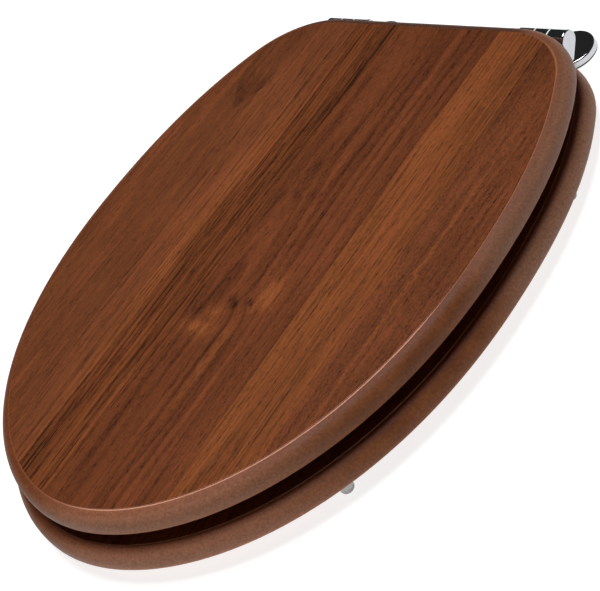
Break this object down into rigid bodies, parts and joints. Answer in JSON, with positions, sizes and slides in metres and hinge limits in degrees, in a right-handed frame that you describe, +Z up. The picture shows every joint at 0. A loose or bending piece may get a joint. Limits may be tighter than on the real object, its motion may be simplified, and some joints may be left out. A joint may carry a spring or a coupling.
{
  "type": "toilet seat",
  "caption": "Wooden toilet seat: a veneered egg-shaped lid over a veneered ring, both swinging on chrome knuckle hinges that bolt to the bowl.",
  "frame": {"origin": "midway between the two fixing holes, on the plane of the bowl's rim", "axes": "+X to the right along the line of the fixing holes, +Y to the rear, +Z up out of the bowl"},
  "size_m": [0.371, 0.4808, 0.05],
  "materials": {
    "veneer": "satin lacquered walnut veneer",
    "board": "satin brown stained fibreboard",
    "chrome": "polished chrome plate",
    "steel": "bright zinc plated",
    "bumper": "translucent grey rubber",
    "gasket": "matt black rubber",
    "nylon": "natural nylon"
  },
  "bodies": {
    "hinge_mounts": {"left_base_gasket": "gasket", "right_base_gasket": "gasket", "left_hinge_base": "chrome", "right_hinge_base": "chrome", "left_hinge_post": "chrome", "right_hinge_post": "chrome", "left_post_screw": "steel", "right_post_screw": "steel", "left_hinge_pin": "steel", "right_hinge_pin": "steel", "left_knuckle_washers": "nylon", "right_knuckle_washers": "nylon"},
    "ring": {"ring_board": "board", "ring_veneer": "veneer", "ring_bumpers": "bumper", "left_ring_leaf": "chrome", "right_ring_leaf": "chrome", "left_ring_leaf_screws": "steel", "right_ring_leaf_screws": "steel"},
    "lid": {"lid_board": "board", "lid_veneer": "veneer", "lid_bumpers": "bumper", "left_lid_leaf": "chrome", "right_lid_leaf": "chrome", "left_lid_leaf_screws": "steel", "right_lid_leaf_screws": "steel"}
  },
  "joints": [
    {"name": "ring_hinge", "type": "hinge", "parent": "hinge_mounts", "child": "ring", "pos_m": [0, -0.017, 0.03025], "axis": [-1, 0, 0], "range_deg": [0, 92]},
    {"name": "lid_hinge", "type": "hinge", "parent": "ring", "child": "lid", "pos_m": [0, -0.017, 0.03025], "axis": [-1, 0, 0], "range_deg": [0, 95]}
  ]
}
